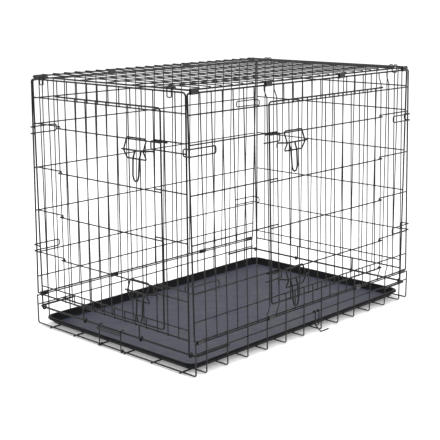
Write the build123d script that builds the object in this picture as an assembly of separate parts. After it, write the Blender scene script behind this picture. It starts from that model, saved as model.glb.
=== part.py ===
from build123d import *
import os
from math import atan2, cos, degrees, hypot, radians, sin, tan

# A folding two-door wire crate for a pet, with a plastic tray.
# Millimetres, +Z up. The origin is on the floor under the middle of the crate.
# The end with a door faces -Y, and the long side with a door faces +X.

# Overall sizes, between wire centres
cage_length = 910.0
top_width = 596.0
base_width = 624.0
end_side_gap = 5.5
hinge_z = 92.5
side_top_z = 695.0
end_rise = 2.0
top_gap = 3.6

# Wire radii
frame_r = 2.2
base_rail_r = 1.8
door_frame_r = 2.2
rung_r = 1.8
upright_r = 1.5
floor_rail_r = 2.0
base_end_r = 2.1
end_bar_r = 2.8
bolt_r = 2.2
bracket_r = 2.0
hook_r = 1.5
clip_wire_r = 1.6

# How deep welded wires sink into each other, and a butted end into a round wire
weld = 0.15
butt = 0.15
# How far a lapped wire end stops short of the far edge of the wire that it crosses
lap_inset = 0.2
# Running clearance of an eye round its pin wire, and between pieces that pass each other
eye_gap = 0.5
pass_gap = 0.4
eye_turn = 250.0

# Grid of the panels
long_pitches = 24
pitch = cage_length / long_pitches
edge_gap = 50.0
near_gap = 70.5
long_gap = 120.5
end_bottom_z = 93.0
end_low_gap = 26.0
end_second_gap = 97.0
end_edge_pitch = 38.0
frame_bend = 10.0
corner_bend = 5.0

# Doors
side_latch_index = 8
side_hinge_index = 20
jog = 10.0
jog_run = 20.0
jog_from_edge = 12.0
side_jog_from_foot = 9.0
front_door_half = 184.5
front_door_pitches = 9
door_over_top = 8.5
side_door_over_bottom = 15.0
front_door_over_bottom = 14.5
front_door_overlap = 29.0
side_door_overlap = 35.0
door_rung_drop = 4.5
door_bend = 9.0

# Latches. Distances run from the opening's edge wire towards the hinge.
bolt_drop = 25.5
bolt_throw = 10.0
bolt_reach = 6.0
bolt_tail = 11.0
bolt_length = 100.0
bolt_bend_start = 14.0
bolt_bend_end = 3.0
bracket_outer = 91.0
bracket_top_inner = 19.5
bracket_top_outer = 84.5
bracket_pinch = 19.5
bracket_corner = 14.5
bracket_rise = 31.0
bracket_fall = 20.5
bracket_bend = 4.0
butt_slit = 0.05
handle_width = 23.0
handle_length = 84.0
handle_proud = 3.5
handle_neck = 4.0
handle_bend = 8.0
keeper_leg = 13.5
keeper_low = 5.5
keeper_arm = 44.0

# Base
base_bend = 6.0
mid_rail_z = 61.0
hinge_slack = 1.5
end_bar_z = 55.0
end_bar_leg = 118.0
end_bar_bend = 10.0
floor_rails = 6
end_eye_x = 112.0

# Top panel
top_rails = 5
top_end_inset = 4.0
hook_x = 245.0
hook_width = 15.0
hook_drop = 19.0
hook_bend = 3.0
hook_turn = 100.0

# Hinge clips: sheet sleeves round two wires
clip_length = 23.0
clip_wall = 1.2
clip_gap = 0.3
top_clip_bays = (0, 7, 15, 23)
base_clip_bays = (0, 7, 17, 23)

# Corner stops: bent wire links that wrap the corners
stop_span = 18.0
stop_side = 84.0
stop_front = 6.0
stop_bend = 5.0
stop_heights = (557.0, 226.0)

# Pan stop and side clip
pan_stop_half = 43.0
pan_stop_rise = 56.0
pan_stop_hook = 11.0
pan_loop_height = 6.0
side_clip_y = 19.0
side_clip_width = 16.0
side_clip_drop = 38.0
side_clip_lap = 6.0
side_clip_foot = 40.0

# Tray
tray_side_gap = 32.0
tray_end_gap = 22.0
tray_height = 20.0
tray_flare = 12.0
tray_corner = 14.0
tray_wall = 2.5
tray_rim = 6.0
tray_rim_drop = 5.0
tray_lift = 0.3

# Where the layers of a panel lie, outwards from the middle of its frame wire
upright_out = frame_r + upright_r - weld
rung_out = upright_out - (upright_r + rung_r - weld)
door_out = upright_out + upright_r + eye_gap + door_frame_r
door_upright_out = door_out + door_frame_r + upright_r - weld
door_rung_out = door_upright_out - (upright_r + rung_r - weld)
bolt_out = door_upright_out + upright_r + pass_gap + bolt_r
bracket_low_out = door_upright_out + upright_r + bracket_r - weld
bracket_high_out = bolt_out + bolt_r + bracket_r + 2 * pass_gap
bolt_tip_out = upright_out - upright_r - eye_gap - bolt_r

half_length = cage_length / 2
end_width = min(top_width, base_width) - 2 * end_side_gap
end_top_z = side_top_z + end_rise
top_panel_z = side_top_z + 2 * frame_r + top_gap
tray_floor_half_x = base_width / 2 - tray_side_gap
tray_floor_half_y = half_length - tray_end_gap
lean = atan2((base_width - top_width) / 2, side_top_z - hinge_z)
side_height = hypot((base_width - top_width) / 2, side_top_z - hinge_z)
side_levels = [edge_gap]
for gap in (near_gap, long_gap, long_gap, long_gap, near_gap):
    side_levels.append(side_levels[-1] + gap)
end_levels = [end_bottom_z + end_low_gap]
for gap in (end_second_gap, long_gap, long_gap, long_gap, near_gap):
    end_levels.append(end_levels[-1] + gap)

# Heights and places in the base
cross_z = 2 * floor_rail_r + rung_r - weld
base_end_z = 2 * floor_rail_r + base_end_r - weld
base_rail_z = hinge_z - frame_r - base_rail_r - hinge_slack
cross_x = base_width / 2 + base_rail_r + rung_r - weld
base_end_x = base_width / 2 + base_rail_r + base_end_r - weld
mid_rail_x = cross_x - 2 * rung_r + weld
end_bar_x = cross_x - rung_r - end_bar_r + weld
end_bar_y = half_length - (end_bar_r + eye_gap + frame_r)


class Face:
    """One side of the crate: a point on it is found along it, outwards from it and up it."""

    def __init__(self, origin, along, out, up):
        self.origin = Vector(*origin)
        self.along = Vector(*along)
        self.out = Vector(*out)
        self.up = Vector(*up)

    def at(self, along, out, up):
        return self.origin + self.along * along + self.out * out + self.up * up


front = Face((0, -half_length, 0), (1, 0, 0), (0, -1, 0), (0, 0, 1))
rear = Face((0, half_length, 0), (-1, 0, 0), (0, 1, 0), (0, 0, 1))
right = Face(
    (base_width / 2, 0, hinge_z),
    (0, 1, 0),
    (cos(lean), 0, sin(lean)),
    (-sin(lean), 0, cos(lean)),
)
left = Face(
    (-base_width / 2, 0, hinge_z),
    (0, 1, 0),
    (-cos(lean), 0, sin(lean)),
    (sin(lean), 0, cos(lean)),
)


def rod(start, end, radius):
    """A straight round wire."""
    start, end = Vector(*start), Vector(*end)
    length = (end - start).length
    return Solid.make_cylinder(radius, length, Plane(origin=start, z_dir=end - start))


def run(points, bend):
    """Edges of a wire's middle line: straight runs joined by tangent arcs."""
    points = [Vector(*p) for p in points]
    bends = bend if isinstance(bend, list) else [bend] * (len(points) - 2)
    edges = []
    here = points[0]
    for before, corner, after, bend in zip(points, points[1:], points[2:], bends):
        arriving = (corner - before).normalized()
        leaving = (after - corner).normalized()
        half_turn = radians(arriving.get_angle(leaving)) / 2
        reach = bend * tan(half_turn)
        inward = (leaving - arriving).normalized()
        centre = corner + inward * (bend / cos(half_turn))
        start = corner - arriving * reach
        end = corner + leaving * reach
        edges.append(Edge.make_line(here, start))
        edges.append(Edge.make_three_point_arc(start, centre - inward * bend, end))
        here = end
    edges.append(Edge.make_line(here, points[-1]))
    return edges


def eye(centre, away, out, radius, turn=eye_turn):
    """Edges of an eye round a pin wire, from where the wire meets it."""
    centre, away, out = Vector(*centre), Vector(*away), Vector(*out)

    def at(angle):
        angle = radians(angle)
        return centre + out * (radius * cos(angle)) - away * (radius * sin(angle))

    middle = turn / 2
    return [
        Edge.make_three_point_arc(at(0), at(middle / 2), at(middle)),
        Edge.make_three_point_arc(at(middle), at(middle * 1.5), at(turn)),
    ]


def reverse(edges):
    """The same edges, walked from the other end."""
    turned = []
    for edge in reversed(edges):
        if edge.geom_type == GeomType.LINE:
            turned.append(Edge.make_line(edge @ 1, edge @ 0))
        else:
            turned.append(Edge.make_three_point_arc(edge @ 1, edge @ 0.5, edge @ 0))
    return turned


def bent(edges, radius):
    """A round wire swept along its middle line."""
    path = Wire(edges)
    return sweep(Plane(origin=path @ 0, z_dir=path % 0) * Circle(radius), path=path).solid()


def ring(edges, radius):
    """A closed round wire, made of two halves that are joined end to end."""
    middle = len(edges) // 2
    cut = edges[middle]
    first = [*edges[:middle], Edge.make_line(cut @ 0, cut @ 0.5)]
    second = [Edge.make_line(cut @ 0.5, cut @ 1), *edges[middle + 1 :]]
    return (bent(first, radius) + bent(second, radius)).solid()


def closed_run(points, bend):
    """Edges of a closed wire, starting in the middle of its first run."""
    points = [Vector(*p) for p in points]
    start = (points[0] + points[1]) * 0.5
    return run([start, *points[1:], points[0], start], bend)


def rounded_frame(face, low_along, high_along, low, high, out, radius, bend):
    corners = [(low_along, low), (high_along, low), (high_along, high), (low_along, high)]
    return ring(closed_run([face.at(a, out, u) for a, u in corners], bend), radius)


def side_positions():
    """Where the fine uprights of a long panel stand, by index."""
    return {i: -half_length + i * pitch for i in range(1, long_pitches)}


def full_upright(face, along, low, high):
    return rod(face.at(along, upright_out, low), face.at(along, upright_out, high), upright_r)


def full_rung(face, start, end, level):
    return rod(face.at(start, rung_out, level), face.at(end, rung_out, level), rung_r)


def side_frame(face):
    return rounded_frame(
        face, -half_length, half_length, 0, side_height, 0, frame_r, corner_bend
    )


# The ends of the uprights and rungs of a long panel
side_foot = -frame_r + lap_inset
side_head = side_height + frame_r - lap_inset
side_rung_end = half_length - frame_r + butt


def plain_side(face):
    """The mesh of the long side that has no door: a list of wires."""
    wires = [full_upright(face, y, side_foot, side_head) for y in side_positions().values()]
    wires += [full_rung(face, -side_rung_end, side_rung_end, v) for v in side_levels]
    return wires


def jogged_upright(face, along):
    """An upright beside the doorway, cranked sideways between the top and the foot."""
    points = [
        face.at(along, upright_out, side_foot),
        face.at(along, upright_out, side_jog_from_foot),
        face.at(along + jog, upright_out, side_jog_from_foot + jog_run),
        face.at(along + jog, upright_out, side_height - jog_from_edge - jog_run),
        face.at(along, upright_out, side_height - jog_from_edge),
        face.at(along, upright_out, side_head),
    ]
    return bent(run(points, door_bend), upright_r)


side_latch_edge = -half_length + side_latch_index * pitch + jog
side_hinge_edge = -half_length + side_hinge_index * pitch + jog


def doorway_side(face):
    """The mesh of the long side with a door: a list of wires."""
    low_edge, high_edge = side_levels[0], side_levels[-1]
    lap = rung_r - lap_inset
    cranked = (side_latch_index - 1, side_latch_index, side_hinge_index, side_hinge_index + 1)
    wires = []
    for index, y in side_positions().items():
        if index in cranked:
            wires.append(jogged_upright(face, y))
        elif side_latch_index < index < side_hinge_index:
            wires.append(full_upright(face, y, side_foot, low_edge + lap))
            wires.append(full_upright(face, y, high_edge - lap, side_head))
        else:
            wires.append(full_upright(face, y, side_foot, side_head))
    wires += [full_rung(face, -side_rung_end, side_rung_end, v) for v in (low_edge, high_edge)]
    over = upright_r + lap_inset
    for v in side_levels[1:-1]:
        wires.append(full_rung(face, -side_rung_end, side_latch_edge + over, v))
        wires.append(full_rung(face, side_hinge_edge - over, side_rung_end, v))
    return wires


end_half = end_width / 2
end_rung_end = end_half - frame_r + butt
end_foot = end_bottom_z - frame_r + lap_inset
end_head = end_top_z + frame_r - lap_inset


def end_uprights():
    """Where the fine uprights of an end panel stand: the doorway's edges and what is beside them."""
    edge = [front_door_half + k * end_edge_pitch for k in range(3)]
    between = [
        -front_door_half + k * 2 * front_door_half / front_door_pitches
        for k in range(1, front_door_pitches)
    ]
    return edge, between


def end_frame(face):
    """The hoop of an end panel, whose feet curl round the end bar, and its bottom wire."""
    pivot = end_bar_y - half_length
    grip = end_bar_r + eye_gap + frame_r
    hoop = []
    tips = []
    for x in (-end_half, end_half):
        tips.append(eye(face.at(x, pivot, end_bar_z), face.up, face.out, grip))
    hoop += reverse(tips[0])
    corners = [(-end_half, end_bar_z), (-end_half, end_top_z)]
    corners += [(end_half, end_top_z), (end_half, end_bar_z)]
    hoop += run([face.at(x, 0, z) for x, z in corners], frame_bend)
    hoop += tips[1]
    bottom = rod(
        face.at(-end_rung_end, 0, end_bottom_z), face.at(end_rung_end, 0, end_bottom_z), frame_r
    )
    return [bent(hoop, frame_r), bottom]


def end_eyes(face):
    """The two short legs under an end panel that curl round the end bar."""
    pivot = end_bar_y - half_length
    grip = end_bar_r + eye_gap + base_end_r
    legs = []
    for x in (-end_eye_x, end_eye_x):
        top = face.at(x, pivot + grip, end_bottom_z - frame_r + butt)
        foot = face.at(x, pivot + grip, end_bar_z)
        curl = eye(face.at(x, pivot, end_bar_z), face.up, face.out, grip)
        legs.append(bent([Edge.make_line(top, foot), *curl], base_end_r))
    return legs


def plain_end(face):
    edge, between = end_uprights()
    places = [s * x for x in edge for s in (-1, 1)] + between
    wires = [full_upright(face, x, end_foot, end_head) for x in sorted(places)]
    wires += [full_rung(face, -end_rung_end, end_rung_end, z) for z in end_levels]
    return wires


def doorway_end(face):
    edge, between = end_uprights()
    lap = rung_r - lap_inset
    wires = [full_upright(face, s * x, end_foot, end_head) for x in edge for s in (-1, 1)]
    for x in between:
        wires.append(full_upright(face, x, end_foot, end_levels[0] + lap))
        wires.append(full_upright(face, x, end_levels[-1] - lap, end_head))
    for z in (end_levels[0], end_levels[-1]):
        wires.append(full_rung(face, -end_rung_end, end_rung_end, z))
    inner = front_door_half - upright_r - lap_inset
    for z in end_levels[1:-1]:
        wires.append(full_rung(face, -end_rung_end, -inner, z))
        wires.append(full_rung(face, inner, end_rung_end, z))
    return wires


class Door:
    """A door in a face: distances run from its hinge wire towards its latch side."""

    def __init__(self, face, hinge, latch, overlap, low, high, rungs, bars):
        towards = 1 if latch > hinge else -1
        origin = face.at(hinge, 0, 0)
        self.face = Face(origin, face.along * towards, face.out, face.up)
        self.edge = abs(latch - hinge)
        self.width = self.edge + overlap
        self.low, self.high = low, high
        self.rungs, self.bars = rungs, bars

    def frame(self):
        """Three sides of one wire, whose two ends curl round the hinge wire."""
        f = self.face
        curls = [
            eye(f.at(0, upright_out, u), f.along, f.out, door_out - upright_out)
            for u in (self.high, self.low)
        ]
        corners = [(0, self.high), (self.width, self.high), (self.width, self.low), (0, self.low)]
        sides = run([f.at(a, door_out, u) for a, u in corners], door_bend)
        return bent(reverse(curls[0]) + sides + curls[1], door_frame_r)

    def rung_wires(self):
        """The cross wires, each curled round the hinge wire."""
        f = self.face
        wires = []
        for u in self.rungs:
            far = f.at(self.width - door_frame_r + butt, door_rung_out, u)
            near = f.at(0, door_rung_out, u)
            curl = eye(f.at(0, upright_out, u), f.along, f.out, door_rung_out - upright_out)
            wires.append(bent([Edge.make_line(far, near), *curl], rung_r))
        return wires

    def upright_wires(self):
        f = self.face
        over = door_frame_r - lap_inset
        return [
            rod(
                f.at(a, door_upright_out, self.low - over),
                f.at(a, door_upright_out, self.high + over),
                upright_r,
            )
            for a in self.bars
        ]

    def bracket(self, level):
        """The hexagonal wire guide of a slide bolt, arched over the bolt at both sides."""
        f = self.face
        corners = [
            (bracket_top_inner, bracket_rise, bracket_low_out),
            (bracket_top_outer, bracket_rise, bracket_low_out),
            (bracket_outer, 0, bracket_high_out),
            (bracket_top_outer, -bracket_fall, bracket_low_out),
            (bracket_corner, -bracket_fall, bracket_low_out),
            (bracket_pinch, 0, bracket_high_out),
            (bracket_corner, bracket_rise - bracket_bend, bracket_low_out),
        ]
        points = [f.at(self.edge - s, out, level + u) for s, u, out in corners]
        middle = (points[0] + points[1]) * 0.5
        start = middle + (points[1] - points[0]).normalized() * butt_slit
        return bent(run([start, *points[1:], points[0], middle], bracket_bend), bracket_r)

    def bolt(self, level):
        """The slide bolt, drawn back, and the long loop that it is moved by."""
        f = self.face
        back = bolt_throw

        def at(s, out, u):
            return f.at(self.edge - back - s, out, level + u)

        line = [
            at(bolt_length - bolt_reach, bolt_out, 0),
            at(bolt_bend_start, bolt_out, 0),
            at(bolt_bend_end, bolt_tip_out, 0),
            at(-bolt_reach, bolt_tip_out, 0),
            at(-bolt_reach, bolt_tip_out, -bolt_tail),
        ]
        near = bracket_pinch + bracket_r + bolt_r + pass_gap
        far = near + handle_width
        proud = bracket_low_out + bracket_r + pass_gap + bolt_r
        shoulder = bracket_fall - bracket_r
        belly = 0.72 * handle_length
        root = bolt_r - butt
        loop = [
            at(near, bolt_out, -root),
            at(near, bolt_out, -root - handle_neck),
            at(near, proud + 1, -shoulder),
            at(near + 1, proud + handle_proud, -belly),
            at((near + far) / 2, proud + handle_proud, -handle_length - handle_bend),
            at(far - 1, proud + handle_proud, -belly),
            at(far, proud + 1, -shoulder),
            at(far, bolt_out, -root - handle_neck),
            at(far, bolt_out, -root),
        ]
        neck = bracket_bend
        bends = [neck, neck, neck, handle_bend, neck, neck, neck]
        return [bent(run(line, bracket_bend), bolt_r), bent(run(loop, bends), bolt_r)]


def keeper(face, latch, side, post, level, rung):
    """The wire on the panel that frames the bolt's tip: side is +1 if the post lies at +along."""
    upper = rung - 2 * rung_r - 0.1
    lower = level + keeper_low
    points = [
        face.at(latch + side * keeper_arm, rung_out, upper),
        face.at(latch - side * keeper_leg, rung_out, upper),
        face.at(latch - side * keeper_leg, rung_out, lower),
        face.at(post, rung_out, lower),
    ]
    return bent(run(points, bracket_bend), rung_r)


front_bars = [k * 2 * front_door_half / front_door_pitches for k in range(1, front_door_pitches)]
front_door = Door(
    front,
    -front_door_half,
    front_door_half,
    front_door_overlap,
    end_levels[0] - front_door_over_bottom,
    end_levels[-1] + door_over_top,
    [z - door_rung_drop for z in end_levels[1:-1]],
    front_bars,
)
side_bars = [(side_hinge_index - i) * pitch for i in range(side_latch_index + 1, side_hinge_index)]
side_door = Door(
    right,
    side_hinge_edge,
    side_latch_edge,
    side_door_overlap,
    side_levels[0] - side_door_over_bottom,
    side_levels[-1] + door_over_top,
    [v - door_rung_drop for v in side_levels[1:-1]],
    side_bars,
)


def bolt_levels(door):
    """The heights of a door's two bolts, upper first."""
    return [door.rungs[-1] - bolt_drop, door.rungs[0] - bolt_drop]


def base_wires():
    """The wires of the base, by node."""
    top = base_rail_z + base_rail_r - lap_inset

    def cradle(y, x, z, radius):
        points = [(-x, y, top), (-x, y, z), (x, y, z), (x, y, top)]
        return bent(run(points, base_bend), radius)

    ends = [cradle(y, base_end_x, base_end_z, base_end_r) for y in (-half_length, half_length)]
    indexes = [1, *range(3, long_pitches - 1, 2), long_pitches - 1]
    crosses = [cradle(-half_length + i * pitch, cross_x, cross_z, rung_r) for i in indexes]
    spread = base_width / floor_rails
    rails = []
    for k in range(floor_rails):
        x = (k + 0.5) * spread - base_width / 2
        y = half_length + base_end_r - lap_inset
        rails.append(rod((x, -y, floor_rail_r), (x, y, floor_rail_r), floor_rail_r))
    sides = []
    tops = []
    for s in (-1, 1):
        y = half_length
        sides.append(rod((s * mid_rail_x, -y, mid_rail_z), (s * mid_rail_x, y, mid_rail_z), rung_r))
        x = s * base_width / 2
        tops.append(rod((x, -y, base_rail_z), (x, y, base_rail_z), base_rail_r))
    return ends, crosses, rails, sides, tops


def end_bar(face):
    """The heavy wire across an end of the base, with a leg along each long side."""
    leg = end_bar_leg
    inward = end_bar_y - half_length
    points = [
        face.at(-end_bar_x, inward - leg, end_bar_z),
        face.at(-end_bar_x, inward, end_bar_z),
        face.at(end_bar_x, inward, end_bar_z),
        face.at(end_bar_x, inward - leg, end_bar_z),
    ]
    return bent(run(points, end_bar_bend), end_bar_r)


def top_panel():
    """The frame and the mesh of the top panel."""
    x = top_width / 2
    y = half_length - top_end_inset
    corners = [(-x, -y), (x, -y), (x, y), (-x, y)]
    points = [(a, b, top_panel_z) for a, b in corners]
    hoop = ring(closed_run(points, corner_bend), frame_r)
    cross_top = top_panel_z + upright_out
    reach = x + frame_r - lap_inset
    mesh = []
    for b in side_positions().values():
        mesh.append(rod((-reach, b, cross_top), (reach, b, cross_top), upright_r))
    rail_z = top_panel_z + rung_out
    rail_end = y - frame_r + butt
    for k in range(1, top_rails + 1):
        a = -x + k * top_width / (top_rails + 1)
        mesh.append(rod((a, -rail_end, rail_z), (a, rail_end, rail_z), rung_r))
    return hoop, mesh


def top_hook(face, x):
    """A hairpin hook that hangs from the top panel's end wire in front of an end panel."""
    grip = frame_r + pass_gap + hook_r
    centre_out = -top_end_inset
    inner, outer = x - hook_width / 2, x + hook_width / 2
    crown = top_panel_z + grip
    nose = upright_out + upright_r + eye_gap + hook_r
    low = top_panel_z - hook_drop
    curls = [
        eye(face.at(a, centre_out, top_panel_z), face.out, face.up, grip, hook_turn)
        for a in (inner, outer)
    ]
    points = [
        face.at(inner, centre_out, crown),
        face.at(inner, nose, crown),
        face.at(inner, nose, low),
        face.at(outer, nose, low),
        face.at(outer, nose, crown),
        face.at(outer, centre_out, crown),
    ]
    return bent(reverse(curls[0]) + run(points, hook_bend) + curls[1], hook_r)


def sleeve(x, y, low, high):
    """A sheet clip wrapped round two wires that run along Y, one above the other."""
    across = 2 * (frame_r + clip_gap)
    face = Plane(origin=(x, y - clip_length / 2, (low + high) / 2), x_dir=(0, 0, 1), z_dir=(0, 1, 0))
    gap = high - low
    outer = SlotCenterToCenter(gap, across + 2 * clip_wall)
    hollow = SlotCenterToCenter(gap, across)
    return extrude(face * (outer - hollow), clip_length).solid()


def clip_row(x, bays, low, high):
    """Clips between neighbouring uprights. The ones in the end bays clear the frames' corners."""
    limit = half_length - top_end_inset - corner_bend - clip_length / 2 - clip_gap
    places = [-half_length + (b + 0.5) * pitch for b in bays]
    return [sleeve(x, max(-limit, min(limit, y)), low, high) for y in places]


def corner_stop(face, end, height):
    """A link on a long panel that wraps the corner in front of the end panel's post."""
    out = upright_out + upright_r + rung_r - weld
    nose = half_length + frame_r + eye_gap + rung_r
    v = (height - hinge_z) / cos(lean)
    plane_x = base_width / 2 - v * sin(lean)
    depth = out + plane_x - end_width / 2 + stop_front
    links = []
    legs = []
    for level in (v - stop_span / 2, v + stop_span / 2):
        legs.append(
            [
                face.at(end * (half_length - stop_side), out, level),
                face.at(end * nose, out, level),
                face.at(end * nose, out - depth, level),
            ]
        )
    low, high = legs
    links.append(ring(closed_run([low[0], low[1], low[2], high[2], high[1], high[0]], stop_bend), rung_r))
    return links


def pan_stop():
    """The wire gate that keeps the tray in: it turns on the front floor wire."""
    grip = base_end_r + 0.35 + clip_wire_r
    foot_z = base_end_z
    top_z = foot_z + pan_stop_rise
    pieces = []
    for x in (-pan_stop_half, pan_stop_half):
        curl = eye(front.at(x, 0, foot_z), front.up, front.out, grip)
        points = [
            front.at(x, grip - pan_stop_hook, top_z),
            front.at(x, grip, top_z),
            front.at(x, grip, foot_z),
        ]
        pieces.append(bent(run(points, hook_bend) + curl, clip_wire_r))
    out = grip + 2 * clip_wire_r - weld
    low = top_z - 2 * pan_loop_height
    reach = pan_stop_half + 3 * clip_wire_r
    corners = [(-reach, low), (reach, low), (reach, low + pan_loop_height), (-reach, low + pan_loop_height)]
    points = [front.at(x, out, z) for x, z in corners]
    pieces.append(ring(closed_run(points, pan_loop_height * 0.45), clip_wire_r))
    return pieces


def side_clip():
    """A hairpin of wire hung on the right mid rail, and its foot that reaches the floor."""
    grip = rung_r + eye_gap + clip_wire_r
    up, out = Vector(0, 0, 1), Vector(1, 0, 0)
    x = mid_rail_x + grip
    first, second = side_clip_y - side_clip_width / 2, side_clip_y + side_clip_width / 2
    low = mid_rail_z - side_clip_drop
    curls = [eye(Vector(mid_rail_x, y, mid_rail_z), -up, out, grip) for y in (first, second)]
    hairpin = reverse(curls[0])
    corners = [(first, mid_rail_z), (first, low), (second, low), (second, mid_rail_z)]
    hairpin += run([(x, y, z) for y, z in corners], hook_bend)
    hairpin += curls[1]
    foot_x = x + 2 * clip_wire_r - weld
    foot = [
        (foot_x, first - side_clip_lap, low + side_clip_lap),
        (foot_x, second + side_clip_lap, clip_wire_r),
        (foot_x, second + side_clip_foot, clip_wire_r),
    ]
    return [bent(hairpin, clip_wire_r), bent(run(foot, hook_bend), clip_wire_r)]


def tray():
    """The plastic tray: a shallow pan with flared walls and a turned-out rim."""
    floor_z = base_end_z + base_end_r + tray_lift
    rim_z = floor_z + tray_height

    def outline(z, grow):
        return Pos(0, 0, z) * RectangleRounded(
            2 * (tray_floor_half_x + grow), 2 * (tray_floor_half_y + grow), tray_corner + grow
        )

    slope = tray_flare / tray_height
    body = loft([outline(floor_z, 0), outline(rim_z, tray_flare)], ruled=True)
    inner_low = floor_z + tray_wall
    over = 1.0
    hollow = loft(
        [
            outline(inner_low, -tray_wall + slope * tray_wall),
            outline(rim_z + over, tray_flare - tray_wall + slope * over),
        ],
        ruled=True,
    )
    lip_low = rim_z - tray_rim_drop
    lip = extrude(outline(lip_low, tray_flare + tray_rim), tray_rim_drop)
    groove = extrude(outline(lip_low - over, tray_flare + tray_rim - tray_wall), tray_rim_drop)
    shelf = lip - groove
    pan = body + (shelf - loft([outline(floor_z, 0), outline(rim_z, tray_flare)], ruled=True))
    return (pan - hollow).solid()


def build_nodes():
    """Every node of the crate: its name and its solids."""
    nodes = {}
    ends, crosses, rails, sides, tops = base_wires()
    nodes["base_end_wires"] = ends
    nodes["base_cross_wires"] = crosses
    nodes["base_floor_rails"] = rails
    nodes["base_mid_rails"] = sides
    nodes["base_hinge_rails"] = tops
    nodes["front_end_bar"] = end_bar(front)
    nodes["rear_end_bar"] = end_bar(rear)

    nodes["right_side_frame"] = side_frame(right)
    nodes["right_side_mesh"] = doorway_side(right)
    nodes["left_side_frame"] = side_frame(left)
    nodes["left_side_mesh"] = plain_side(left)
    nodes["top_frame"], nodes["top_mesh"] = top_panel()

    half_top, half_base = top_width / 2, base_width / 2
    for name, sign in (("right", 1), ("left", -1)):
        nodes[f"{name}_top_hinge_clips"] = clip_row(
            sign * half_top, top_clip_bays, side_top_z, top_panel_z
        )
        nodes[f"{name}_base_hinge_clips"] = clip_row(
            sign * half_base, base_clip_bays, base_rail_z, hinge_z
        )
    for name, face in (("right", right), ("left", left)):
        for end_name, end in (("front", -1), ("rear", 1)):
            links = []
            for height in stop_heights:
                links += corner_stop(face, end, height)
            nodes[f"{end_name}_{name}_corner_stops"] = links

    for name, face in (("front", front), ("rear", rear)):
        nodes[f"{name}_end_frame"] = end_frame(face)
        nodes[f"{name}_end_eyes"] = end_eyes(face)
        for hook_name, x in (("left", -hook_x), ("right", hook_x)):
            nodes[f"{name}_{hook_name}_top_hook"] = top_hook(face, x)
    nodes["front_end_mesh"] = doorway_end(front)
    nodes["rear_end_mesh"] = plain_end(rear)

    for name, door in (("front", front_door), ("side", side_door)):
        nodes[f"{name}_door_frame"] = door.frame()
        nodes[f"{name}_door_rungs"] = door.rung_wires()
        nodes[f"{name}_door_uprights"] = door.upright_wires()
        for place, level in zip(("upper", "lower"), bolt_levels(door)):
            nodes[f"{name}_{place}_latch_bracket"] = door.bracket(level)
            nodes[f"{name}_{place}_latch_bolt"] = door.bolt(level)

    for place, level, rung in zip(
        ("upper", "lower"), bolt_levels(front_door), (end_levels[-2], end_levels[1])
    ):
        nodes[f"front_{place}_keeper"] = keeper(
            front, front_door_half, 1, end_rung_end, level, rung
        )
    for place, level, rung in zip(
        ("upper", "lower"), bolt_levels(side_door), (side_levels[-2], side_levels[1])
    ):
        post = side_latch_edge - jog - pitch
        nodes[f"side_{place}_keeper"] = keeper(
            right, side_latch_edge, -1, post, level, rung
        )

    nodes["pan_stop"] = pan_stop()
    nodes["side_clip"] = side_clip()
    nodes["tray"] = tray()
    return nodes


def main():
    os.makedirs("parts", exist_ok=True)
    for name, shape in build_nodes().items():
        if isinstance(shape, list):
            shape = Compound(children=shape)
        export_step(shape, f"parts/{name}.step")


main()
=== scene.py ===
from math import atan2, cos, pi, radians, sin
import bmesh
import bpy
from mathutils import Matrix, Vector


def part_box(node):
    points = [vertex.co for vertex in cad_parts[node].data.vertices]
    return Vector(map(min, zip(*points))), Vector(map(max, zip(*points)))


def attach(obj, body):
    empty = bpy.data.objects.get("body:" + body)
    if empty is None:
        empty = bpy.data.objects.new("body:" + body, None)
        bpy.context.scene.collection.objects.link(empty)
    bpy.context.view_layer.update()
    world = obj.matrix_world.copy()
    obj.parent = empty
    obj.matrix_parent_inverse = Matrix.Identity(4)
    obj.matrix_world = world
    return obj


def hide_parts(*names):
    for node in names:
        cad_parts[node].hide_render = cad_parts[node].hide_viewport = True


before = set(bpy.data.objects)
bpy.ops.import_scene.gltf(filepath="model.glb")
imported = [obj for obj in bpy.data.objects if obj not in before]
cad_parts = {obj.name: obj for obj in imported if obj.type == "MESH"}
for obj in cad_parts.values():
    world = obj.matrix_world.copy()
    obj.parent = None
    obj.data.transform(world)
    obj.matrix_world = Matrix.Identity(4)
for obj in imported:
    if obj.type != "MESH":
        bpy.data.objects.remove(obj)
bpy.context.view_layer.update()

# A folding wire pet crate with a plastic tray. Metres, +Z up, the door end faces -Y.
# The CAD wires are kept and coated; weld beads, clip lips and a moulded tray are added.


# Materials

def new_material(name):
    material = bpy.data.materials.new(name)
    material.use_nodes = True
    tree = material.node_tree
    tree.nodes.clear()
    output = tree.nodes.new("ShaderNodeOutputMaterial")
    shader = tree.nodes.new("ShaderNodeBsdfPrincipled")
    tree.links.new(shader.outputs["BSDF"], output.inputs["Surface"])
    return material, tree, shader


def add(tree, kind, **values):
    node = tree.nodes.new(kind)
    for key, value in values.items():
        setattr(node, key, value)
    return node


def ramp(tree, source, low, high, first, second):
    """The source's stretch from low to high, drawn out from first to second."""
    node = add(tree, "ShaderNodeMapRange")
    node.inputs["From Min"].default_value = low
    node.inputs["From Max"].default_value = high
    node.inputs["To Min"].default_value = first
    node.inputs["To Max"].default_value = second
    tree.links.new(source, node.inputs["Value"])
    return node.outputs["Result"]


PEEL_TO_PATCH = 9.0


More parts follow.
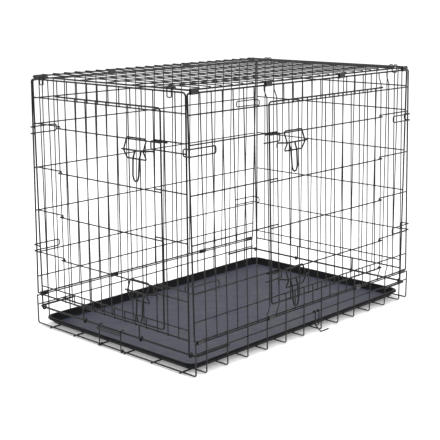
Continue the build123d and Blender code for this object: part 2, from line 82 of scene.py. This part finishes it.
def coating_group():
    """Thick and thin patches of a sprayed coat, and its finer orange peel."""
    group = bpy.data.node_groups.new("coat_variation", "ShaderNodeTree")
    face = group.interface
    face.new_socket(name="Scale", in_out="INPUT", socket_type="NodeSocketFloat")
    face.new_socket(name="Patch", in_out="OUTPUT", socket_type="NodeSocketFloat")
    face.new_socket(name="Peel", in_out="OUTPUT", socket_type="NodeSocketFloat")
    start = group.nodes.new("NodeGroupInput")
    end = group.nodes.new("NodeGroupOutput")
    where = group.nodes.new("ShaderNodeTexCoord")
    fine = group.nodes.new("ShaderNodeMath")
    fine.operation = "MULTIPLY"
    fine.inputs[1].default_value = PEEL_TO_PATCH
    group.links.new(start.outputs["Scale"], fine.inputs[0])
    patch = group.nodes.new("ShaderNodeTexNoise")
    patch.inputs["Detail"].default_value = 3.0
    peel = group.nodes.new("ShaderNodeTexNoise")
    peel.inputs["Detail"].default_value = 1.0
    group.links.new(where.outputs["Object"], patch.inputs["Vector"])
    group.links.new(where.outputs["Object"], peel.inputs["Vector"])
    group.links.new(start.outputs["Scale"], patch.inputs["Scale"])
    group.links.new(fine.outputs[0], peel.inputs["Scale"])
    group.links.new(patch.outputs["Fac"], end.inputs["Patch"])
    group.links.new(peel.outputs["Fac"], end.inputs["Peel"])
    return group


COAT = coating_group()


COAT_HEIGHT = 0.0002
COAT_ROUGHNESS = 0.12


def enamel(name, dark, light, rough_low, rough_high, scale, bump, coat, sheen=0.18):
    """Black stove enamel over wire or sheet."""
    material, tree, shader = new_material(name)
    coat_node = add(tree, "ShaderNodeGroup", node_tree=COAT)
    coat_node.inputs["Scale"].default_value = scale
    tint = add(tree, "ShaderNodeMix", data_type="RGBA")
    tint.inputs["A"].default_value = (*dark, 1)
    tint.inputs["B"].default_value = (*light, 1)
    tree.links.new(ramp(tree, coat_node.outputs["Patch"], 0.3, 0.7, 0, 1), tint.inputs["Factor"])
    tree.links.new(tint.outputs["Result"], shader.inputs["Base Color"])
    rough = ramp(tree, coat_node.outputs["Patch"], 0.25, 0.75, rough_low, rough_high)
    tree.links.new(rough, shader.inputs["Roughness"])
    height = add(tree, "ShaderNodeBump")
    height.inputs["Strength"].default_value = bump
    height.inputs["Distance"].default_value = COAT_HEIGHT
    tree.links.new(coat_node.outputs["Peel"], height.inputs["Height"])
    tree.links.new(height.outputs["Normal"], shader.inputs["Normal"])
    shader.inputs["Specular IOR Level"].default_value = sheen
    shader.inputs["Coat Weight"].default_value = coat
    shader.inputs["Coat Roughness"].default_value = COAT_ROUGHNESS
    return material


CLOUD_SCALE = 26.0
MOTTLE_SCALE = 240.0
PEBBLE_BUMP, PEBBLE_HEIGHT = 0.55, 0.0006


def moulded(name, dark, light, rough_low, rough_high, pebble, sheen):
    """Semi-gloss moulded plastic with a pebbled grain and faint cloudy scuffs."""
    material, tree, shader = new_material(name)
    where = add(tree, "ShaderNodeTexCoord")
    cells = add(tree, "ShaderNodeTexVoronoi", feature="SMOOTH_F1")
    cells.inputs["Scale"].default_value = pebble
    cloud = add(tree, "ShaderNodeTexNoise")
    cloud.inputs["Scale"].default_value = CLOUD_SCALE
    cloud.inputs["Detail"].default_value = 6.0
    mottle = add(tree, "ShaderNodeTexNoise")
    mottle.inputs["Scale"].default_value = MOTTLE_SCALE
    mottle.inputs["Detail"].default_value = 4.0
    for node in (cells, cloud, mottle):
        tree.links.new(where.outputs["Object"], node.inputs["Vector"])
    tint = add(tree, "ShaderNodeMix", data_type="RGBA")
    tint.inputs["A"].default_value = (*dark, 1)
    tint.inputs["B"].default_value = (*light, 1)
    both = add(tree, "ShaderNodeMath", operation="ADD")
    tree.links.new(ramp(tree, cloud.outputs["Fac"], 0.35, 0.65, 0, 0.45), both.inputs[0])
    tree.links.new(ramp(tree, mottle.outputs["Fac"], 0.35, 0.65, 0, 0.55), both.inputs[1])
    tree.links.new(both.outputs[0], tint.inputs["Factor"])
    tree.links.new(tint.outputs["Result"], shader.inputs["Base Color"])
    rough = ramp(tree, cloud.outputs["Fac"], 0.3, 0.7, rough_low, rough_high)
    tree.links.new(rough, shader.inputs["Roughness"])
    shader.inputs["Specular IOR Level"].default_value = sheen
    height = add(tree, "ShaderNodeBump")
    height.inputs["Strength"].default_value = PEBBLE_BUMP
    height.inputs["Distance"].default_value = PEBBLE_HEIGHT
    tree.links.new(cells.outputs["Distance"], height.inputs["Height"])
    tree.links.new(height.outputs["Normal"], shader.inputs["Normal"])
    return material


black = enamel(
    "black_enamel_wire", (0.004, 0.004, 0.0045), (0.010, 0.010, 0.011),
    rough_low=0.3, rough_high=0.48, scale=60, bump=0.2, coat=0.03, sheen=0.27,
)
heavy = enamel(
    "black_enamel_frame", (0.003, 0.003, 0.0035), (0.007, 0.007, 0.008),
    rough_low=0.26, rough_high=0.42, scale=45, bump=0.25, coat=0.03,
)
latch = enamel(
    "black_enamel_latch", (0.003, 0.003, 0.004), (0.009, 0.009, 0.01),
    rough_low=0.24, rough_high=0.4, scale=80, bump=0.2, coat=0.05,
)
sheet = enamel(
    "black_sheet_clip", (0.005, 0.005, 0.006), (0.014, 0.014, 0.015),
    rough_low=0.16, rough_high=0.34, scale=120, bump=0.35, coat=0.15, sheen=0.35,
)
bead = enamel(
    "black_weld_bead", (0.004, 0.004, 0.005), (0.014, 0.014, 0.014),
    rough_low=0.35, rough_high=0.55, scale=200, bump=0.4, coat=0.02,
)
plastic = moulded(
    "dark_moulded_plastic", (0.012, 0.014, 0.028), (0.035, 0.039, 0.070),
    rough_low=0.36, rough_high=0.52, pebble=520, sheen=0.28,
)
# A darker copy of the tray plastic for the wall, the rim and the floor's outer band: painted shade
# on the wall and rim, standing in for their weaker reflection, and a painted shadow of the wall
# along the floor's edge.
shaded_rim_plastic = moulded(
    "painted_shade_moulded_rim", (0.002, 0.002, 0.003), (0.006, 0.006, 0.008),
    rough_low=0.34, rough_high=0.46, pebble=700, sheen=0.07,
)


def material_for(node):
    """The material of a CAD node, by what its name says it is."""
    if node == "tray":
        return plastic
    if "clips" in node:
        return sheet
    if "latch" in node or "hook" in node or node in ("pan_stop", "side_clip"):
        return latch
    if "frame" in node or "rail" in node or "bar" in node:
        return heavy
    return black


for name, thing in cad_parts.items():
    if not thing.material_slots:
        thing.data.materials.append(material_for(name))
    for place in thing.material_slots:
        place.material = material_for(name)


def piece(name, mesh, body, material):
    """A finished piece that rides on a body."""
    thing = bpy.data.objects.new(name, mesh)
    bpy.context.scene.collection.objects.link(thing)
    mesh.materials.append(material)
    for polygon in mesh.polygons:
        polygon.use_smooth = True
    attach(thing, body)
    return thing


# Weld beads: a flattened drop where a fine upright crosses a rung
# The sizes are the CAD's own, in its rest pose.

LENGTH, TOP_W, BASE_W = 0.910, 0.596, 0.624
HINGE_Z, SIDE_TOP = 0.0925, 0.695
LEAN = atan2((BASE_W - TOP_W) / 2, SIDE_TOP - HINGE_Z)
STEP = LENGTH / 24
SIDE_LEVELS = [0.050, 0.1205, 0.241, 0.3615, 0.482, 0.5525]
END_LEVELS = [0.119, 0.216, 0.3365, 0.457, 0.5775, 0.648]
UP_OUT, RUNG_OUT = 0.00355, 0.0004
WELD_OUT = (UP_OUT + RUNG_OUT) / 2
CRANK = 0.010
CRANKED_UPRIGHTS = (7, 8, 20, 21)
DOORWAY_FIRST, DOORWAY_LAST = 8, 20
DOOR_HALF, END_PITCH, DOOR_PITCH = 0.1845, 0.038, 0.041
DOOR_WELD_OUT, DOOR_RUNG_DROP = 0.0097, 0.0045
TOP_Z, TOP_RAIL_OUT, TOP_SPACES = 0.703, 0.0004, 6
BEAD_R, BEAD_H = 2.2e-3, 1.1e-3
BEAD_WOBBLE, GOLDEN_TURN = 0.12, 2.399


def beads(name, body, places, size=1.0):
    """One piece with a bead at each place, flat along its own outward direction."""
    mesh = bpy.data.meshes.new(name)
    grown = bmesh.new()
    for index, (where, out) in enumerate(places):
        turn = Vector(out).to_track_quat("Z", "Y").to_matrix().to_4x4()
        wobble = 1 + BEAD_WOBBLE * sin(index * GOLDEN_TURN)
        across = BEAD_R * size * wobble
        squash = Matrix.Diagonal((across, across, BEAD_H * size, 1))
        bmesh.ops.create_icosphere(
            grown, subdivisions=1, radius=1.0, matrix=Matrix.Translation(where) @ turn @ squash
        )
    grown.to_mesh(mesh)
    grown.free()
    piece(name, mesh, body, bead)


def side_point(sign, y, out, up):
    """A point on a leaning long panel, from how far out of it and how far up it."""
    x = BASE_W / 2 + out * cos(LEAN) - up * sin(LEAN)
    z = HINGE_Z + out * sin(LEAN) + up * cos(LEAN)
    return Vector((sign * x, y, z))


side_out = {1: (cos(LEAN), 0, sin(LEAN)), -1: (-cos(LEAN), 0, sin(LEAN))}
left_places, right_places = [], []
for index in range(1, 24):
    y = -LENGTH / 2 + index * STEP
    for level in SIDE_LEVELS:
        left_places.append((side_point(-1, y, WELD_OUT, level), side_out[-1]))
        edge = level in (SIDE_LEVELS[0], SIDE_LEVELS[-1])
        if edge or not DOORWAY_FIRST < index < DOORWAY_LAST:
            shift = CRANK if index in CRANKED_UPRIGHTS else 0
            right_places.append((side_point(1, y + shift, WELD_OUT, level), side_out[1]))
beads("left_side_weld_beads", "cage", left_places)
beads("right_side_weld_beads", "cage", right_places)

end_x = [s * (DOOR_HALF + k * END_PITCH) for k in range(3) for s in (-1, 1)]
door_x = [-DOOR_HALF + k * DOOR_PITCH for k in range(1, 9)]
front_places, rear_places = [], []
for z in END_LEVELS:
    for x in end_x:
        front_places.append((Vector((x, -LENGTH / 2 - WELD_OUT, z)), (0, -1, 0)))
        rear_places.append((Vector((x, LENGTH / 2 + WELD_OUT, z)), (0, 1, 0)))
    for x in door_x:
        if z in (END_LEVELS[0], END_LEVELS[-1]):
            front_places.append((Vector((x, -LENGTH / 2 - WELD_OUT, z)), (0, -1, 0)))
        rear_places.append((Vector((x, LENGTH / 2 + WELD_OUT, z)), (0, 1, 0)))
beads("front_end_weld_beads", "front_end", front_places)
beads("rear_end_weld_beads", "rear_end", rear_places)

top_places = []
for index in range(1, 24):
    for k in range(1, TOP_SPACES):
        x = -TOP_W / 2 + k * TOP_W / TOP_SPACES
        top_places.append((Vector((x, -LENGTH / 2 + index * STEP, TOP_Z + WELD_OUT)), (0, 0, 1)))
beads("top_weld_beads", "cage", top_places)
for side, sign, size in (("left", -1, 1.9), ("right", 1, 1.3)):
    ends = []
    for index in range(1, 24):
        y = -LENGTH / 2 + index * STEP
        spot = Vector((sign * (TOP_W / 2 + TOP_RAIL_OUT), y, TOP_Z + WELD_OUT))
        ends.append((spot, (sign * 0.5, 0, 1)))
    beads(f"{side}_top_rail_weld_beads", "cage", ends, size)

door_places = []
for z in END_LEVELS[1:-1]:
    for x in door_x:
        spot = Vector((x, -LENGTH / 2 - DOOR_WELD_OUT, z - DOOR_RUNG_DROP))
        door_places.append((spot, (0, -1, 0)))
beads("front_door_weld_beads", "front_door", door_places)
door_places = []
for level in SIDE_LEVELS[1:-1]:
    for index in range(DOORWAY_FIRST + 1, DOORWAY_LAST):
        y = -LENGTH / 2 + index * STEP + CRANK
        spot = side_point(1, y, DOOR_WELD_OUT, level - DOOR_RUNG_DROP)
        door_places.append((spot, side_out[1]))
beads("side_door_weld_beads", "side_door", door_places)


# Hinge clips: a rolled lip at both ends of each sheet sleeve and a pressed rib along its outside

CLIP_BREAK = 0.03
LIP_R, LIP_SIDES, LIP_STEPS = 0.0009, 8, 10
RIB_SIZE = (0.0005, 0.008, 0.0014, 1)


def clip_spans(node):
    """The stretches of Y that a row of CAD sleeves covers."""
    spans = []
    for y in sorted(vertex.co.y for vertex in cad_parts[node].data.vertices):
        if spans and y - spans[-1][1] < CLIP_BREAK:
            spans[-1][1] = y
        else:
            spans.append([y, y])
    return spans


def new_verts(drawn):
    """The vertices that an extrusion made."""
    return [item for item in drawn if isinstance(item, bmesh.types.BMVert)]


def far_edges(drawn, verts):
    """The extrusion's far rim: its edges with both ends among the new vertices."""
    fresh = set(verts)
    edges = [item for item in drawn if isinstance(item, bmesh.types.BMEdge)]
    return [edge for edge in edges if set(edge.verts) <= fresh]


def oval_lip(grown, x, y, low_z, high_z, reach):
    """A rolled lip: a small round section turned about both ends of the sleeve's oval."""
    section = Matrix.Translation((x + reach, y, low_z)) @ Matrix.Diagonal((0.5, 1, 1, 1))
    made = bmesh.ops.create_circle(grown, segments=LIP_SIDES, radius=LIP_R, matrix=section)
    ring = list({edge for vertex in made["verts"] for edge in vertex.link_edges})
    for centre_z, rise in ((high_z, high_z - low_z), (low_z, low_z - high_z)):
        run = bmesh.ops.extrude_edge_only(grown, edges=ring)["geom"]
        verts = new_verts(run)
        bmesh.ops.translate(grown, verts=verts, vec=(0, 0, rise))
        ring = far_edges(run, verts)
        spun = bmesh.ops.spin(
            grown, geom=ring, cent=(x, y, centre_z), axis=(0, -1, 0), angle=pi, steps=LIP_STEPS
        )["geom_last"]
        ring = [item for item in spun if isinstance(item, bmesh.types.BMEdge)]
    bmesh.ops.remove_doubles(grown, verts=grown.verts, dist=1e-6)


def clip_lips(node, sign):
    """Rolled lips round the mouths of a row of clips, and a pressed rib on each."""
    low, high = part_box(node)
    x, reach = (low[0] + high[0]) / 2, (high[0] - low[0]) / 2
    grown = bmesh.new()
    for first, last in clip_spans(node):
        for y in (first + LIP_R, last - LIP_R):
            oval_lip(grown, x, y, low[2] + reach, high[2] - reach, reach)
        rib = Matrix.Translation((x + sign * reach, (first + last) / 2, (low[2] + high[2]) / 2))
        shape = Matrix.Diagonal(RIB_SIZE)
        bmesh.ops.create_icosphere(grown, subdivisions=2, radius=1.0, matrix=rib @ shape)
    bmesh.ops.recalc_face_normals(grown, faces=grown.faces)
    made = bpy.data.meshes.new(node + "_lips")
    grown.to_mesh(made)
    grown.free()
    piece(node + "_lips", made, "cage", sheet)


for side, sign in (("right", 1), ("left", -1)):
    for place in ("top", "base"):
        clip_lips(f"{side}_{place}_hinge_clips", sign)


# Tray: one moulded shell with rounded folds, a stepped floor and a rolled rim

TRAY_CORNER = 0.014
TRAY_RUN = 0.018
TRAY_WALL = 0.0025
LEAST_CORNER = 0.003
# The floor's middle and its first seven rings keep the floor plastic. Its last two rings, the
# wall, the rim and the underside take the darker copy: a painted shadow along the floor's edge and
# painted shade on the wall and rim.
FLOOR_RINGS = 7


def tray_profile(height):
    """The section from the floor's middle over the rim and back under.

    Each pair is how far out of the corner radius the ring grows, and how high it stands.
    """
    wall = TRAY_WALL
    floor = [(-0.030, wall), (-0.024, wall), (-0.021, wall + 0.0009), (-0.0185, wall + 0.0016)]
    floor += [(-0.0155, wall + 0.0016), (-0.0135, wall + 0.0008), (-0.0115, wall + 0.0001)]
    floor += [(-0.008, wall), (-0.0045, wall + 0.0002), (-0.002, wall + 0.0012)]
    inside = [(0.0005, wall + 0.0036), (0.0085, height - 0.0022), (0.0098, height - 0.0006)]
    rim = [(0.0112, height), (0.0150, height), (0.0168, height - 0.0005)]
    rim += [(0.0178, height - 0.0018), (0.018, height - 0.0034), (0.018, height - 0.005)]
    under = [(0.0160, height - 0.005), (0.0156, height - 0.0028), (0.0125, height - 0.0026)]
    under += [(0.0106, height - 0.0040), (0.0032, 0.0022), (0.0012, 0.0006), (-0.0015, 0)]
    return floor, inside + rim + under


def moulded_tray():
    """One shell: a rounded floor panel whose edge is drawn out, up, over and back under."""
    low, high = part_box("tray")
    height = high[2] - low[2]
    core = Vector((high[0] - TRAY_RUN - TRAY_CORNER, high[1] - TRAY_RUN - TRAY_CORNER, 0))
    floor, around = tray_profile(height)
    grown = bmesh.new()
    half = Matrix.Diagonal((core.x + TRAY_CORNER, core.y + TRAY_CORNER, 1, 1))
    bmesh.ops.create_grid(grown, x_segments=1, y_segments=1, size=1.0, matrix=half)
    bmesh.ops.bevel(
        grown, geom=list(grown.verts), affect="VERTICES", offset=TRAY_CORNER, segments=12,
        profile=0.5, material=-1,
    )

    # each vertex keeps the middle of its corner and its direction away from it
    corners = {}
    for vertex in grown.verts:
        x, y = vertex.co.x, vertex.co.y
        anchor = Vector((max(-core.x, min(core.x, x)), max(-core.y, min(core.y, y)), 0))
        corners[vertex] = (anchor, (vertex.co - anchor).normalized())

    def place(verts, grow, rise):
        reach = max(TRAY_CORNER + grow, LEAST_CORNER)
        short = TRAY_CORNER + grow - reach
        for vertex in verts:
            anchor, away = corners[vertex]
            short_x = short if anchor.x > 0 else -short
            short_y = short if anchor.y > 0 else -short
            drawn_in = Vector((short_x, short_y, 0))
            vertex.co = anchor + drawn_in + away * reach + Vector((0, 0, low[2] + rise))

    rim = [edge for edge in grown.edges if edge.is_boundary]
    place(list(grown.verts), *floor[0])
    for row, (grow, rise) in enumerate(floor[1:] + around):
        drawn = bmesh.ops.extrude_edge_only(grown, edges=rim)["geom"]
        verts = new_verts(drawn)
        fresh = set(verts)
        for vertex in verts:
            for edge in vertex.link_edges:
                source = edge.other_vert(vertex)
                if source not in fresh:
                    corners[vertex] = corners[source]
        rim = far_edges(drawn, verts)
        place(verts, grow, rise)
        for item in drawn:
            if isinstance(item, bmesh.types.BMFace):
                # rings past the first seven take the darker copy: painted shade and a painted
                # shadow of the wall
                item.material_index = 0 if row < FLOOR_RINGS else 1
    for face in bmesh.ops.holes_fill(grown, edges=rim, sides=0)["faces"]:
        face.material_index = 1
    bmesh.ops.recalc_face_normals(grown, faces=grown.faces)
    mesh = bpy.data.meshes.new("moulded_tray")
    grown.to_mesh(mesh)
    grown.free()
    made = piece("moulded_tray", mesh, "tray", plastic)
    mesh.materials.append(shaded_rim_plastic)
    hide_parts("tray")


moulded_tray()


# Stage, light and camera

FLOOR_DROP = -0.0004
FLOOR_GLOW = 0.22


def stage_floor():
    """A pale floor that glows only for the camera and for reflections, and keeps shadows."""
    grown = bmesh.new()
    bmesh.ops.create_grid(
        grown, x_segments=1, y_segments=1, size=40.0, matrix=Matrix.Translation((0, 0, FLOOR_DROP))
    )
    mesh = bpy.data.meshes.new("pale_floor")
    grown.to_mesh(mesh)
    grown.free()
    floor = bpy.data.objects.new("pale_floor", mesh)
    bpy.context.scene.collection.objects.link(floor)
    material, tree, shader = new_material("pale_floor")
    where = add(tree, "ShaderNodeTexCoord")
    soft = add(tree, "ShaderNodeTexNoise")
    soft.inputs["Scale"].default_value = 3.0
    tree.links.new(where.outputs["Object"], soft.inputs["Vector"])
    tree.links.new(ramp(tree, soft.outputs["Fac"], 0, 1, 0.85, 0.95), shader.inputs["Roughness"])
    shader.inputs["Base Color"].default_value = (0.93, 0.93, 0.93, 1)
    shader.inputs["Specular IOR Level"].default_value = 0.1
    shader.inputs["Emission Color"].default_value = (1, 1, 1, 1)
    seen = add(tree, "ShaderNodeLightPath")
    both = add(tree, "ShaderNodeMath", operation="MAXIMUM")
    glow = add(tree, "ShaderNodeMath", operation="MULTIPLY")
    glow.inputs[1].default_value = FLOOR_GLOW
    tree.links.new(seen.outputs["Is Camera Ray"], both.inputs[0])
    tree.links.new(seen.outputs["Is Glossy Ray"], both.inputs[1])
    tree.links.new(both.outputs[0], glow.inputs[0])
    tree.links.new(glow.outputs[0], shader.inputs["Emission Strength"])
    mesh.materials.append(material)


AIM = (0, 0, 0.3)


def area_light(name, place, size, power):
    """A soft rectangular lamp aimed at the crate."""
    data = bpy.data.lights.new(name, "AREA")
    data.shape = "RECTANGLE"
    data.size, data.size_y = size
    data.energy = power
    light = bpy.data.objects.new(name, data)
    light.location = place
    light.rotation_euler = (Vector(AIM) - Vector(place)).to_track_quat("-Z", "Y").to_euler()
    bpy.context.scene.collection.objects.link(light)


stage_floor()
area_light("key_softbox", (1.8, -1.6, 2.6), (2.2, 1.6), 36)
area_light("top_softbox", (-0.3, 0.6, 3.2), (2.6, 2.6), 30)
area_light("fill_softbox", (-2.4, -1.8, 1.6), (1.8, 1.8), 12)

world = bpy.data.worlds.new("studio")
bpy.context.scene.world = world
world.use_nodes = True
backdrop = world.node_tree.nodes["Background"]
backdrop.inputs["Color"].default_value = (1, 1, 1, 1)
backdrop.inputs["Strength"].default_value = 1.0
bpy.context.scene.view_settings.view_transform = "Standard"

# The camera stands where a fit to sixty points of the photograph puts it.
CAMERA_PLACE = (2.0156, -2.1516, 0.9379)
LENS_MM, SENSOR_MM = 85.3, 36
azimuth, elevation, roll = radians(43.6), radians(12.66), radians(-0.38)
back = Vector((sin(azimuth) * cos(elevation), -cos(azimuth) * cos(elevation), sin(elevation)))
level = Vector((cos(azimuth), sin(azimuth), 0))
upright = back.cross(level)
right = level * cos(roll) + upright * sin(roll)
up = upright * cos(roll) - level * sin(roll)
camera_data = bpy.data.cameras.new("camera")
camera_data.lens = LENS_MM
camera_data.sensor_width = SENSOR_MM
camera_data.clip_end = 120
camera = bpy.data.objects.new("camera", camera_data)
turn = Matrix((right, up, back)).transposed().to_4x4()
camera.matrix_world = Matrix.Translation(CAMERA_PLACE) @ turn
bpy.context.scene.collection.objects.link(camera)
bpy.context.scene.camera = camera
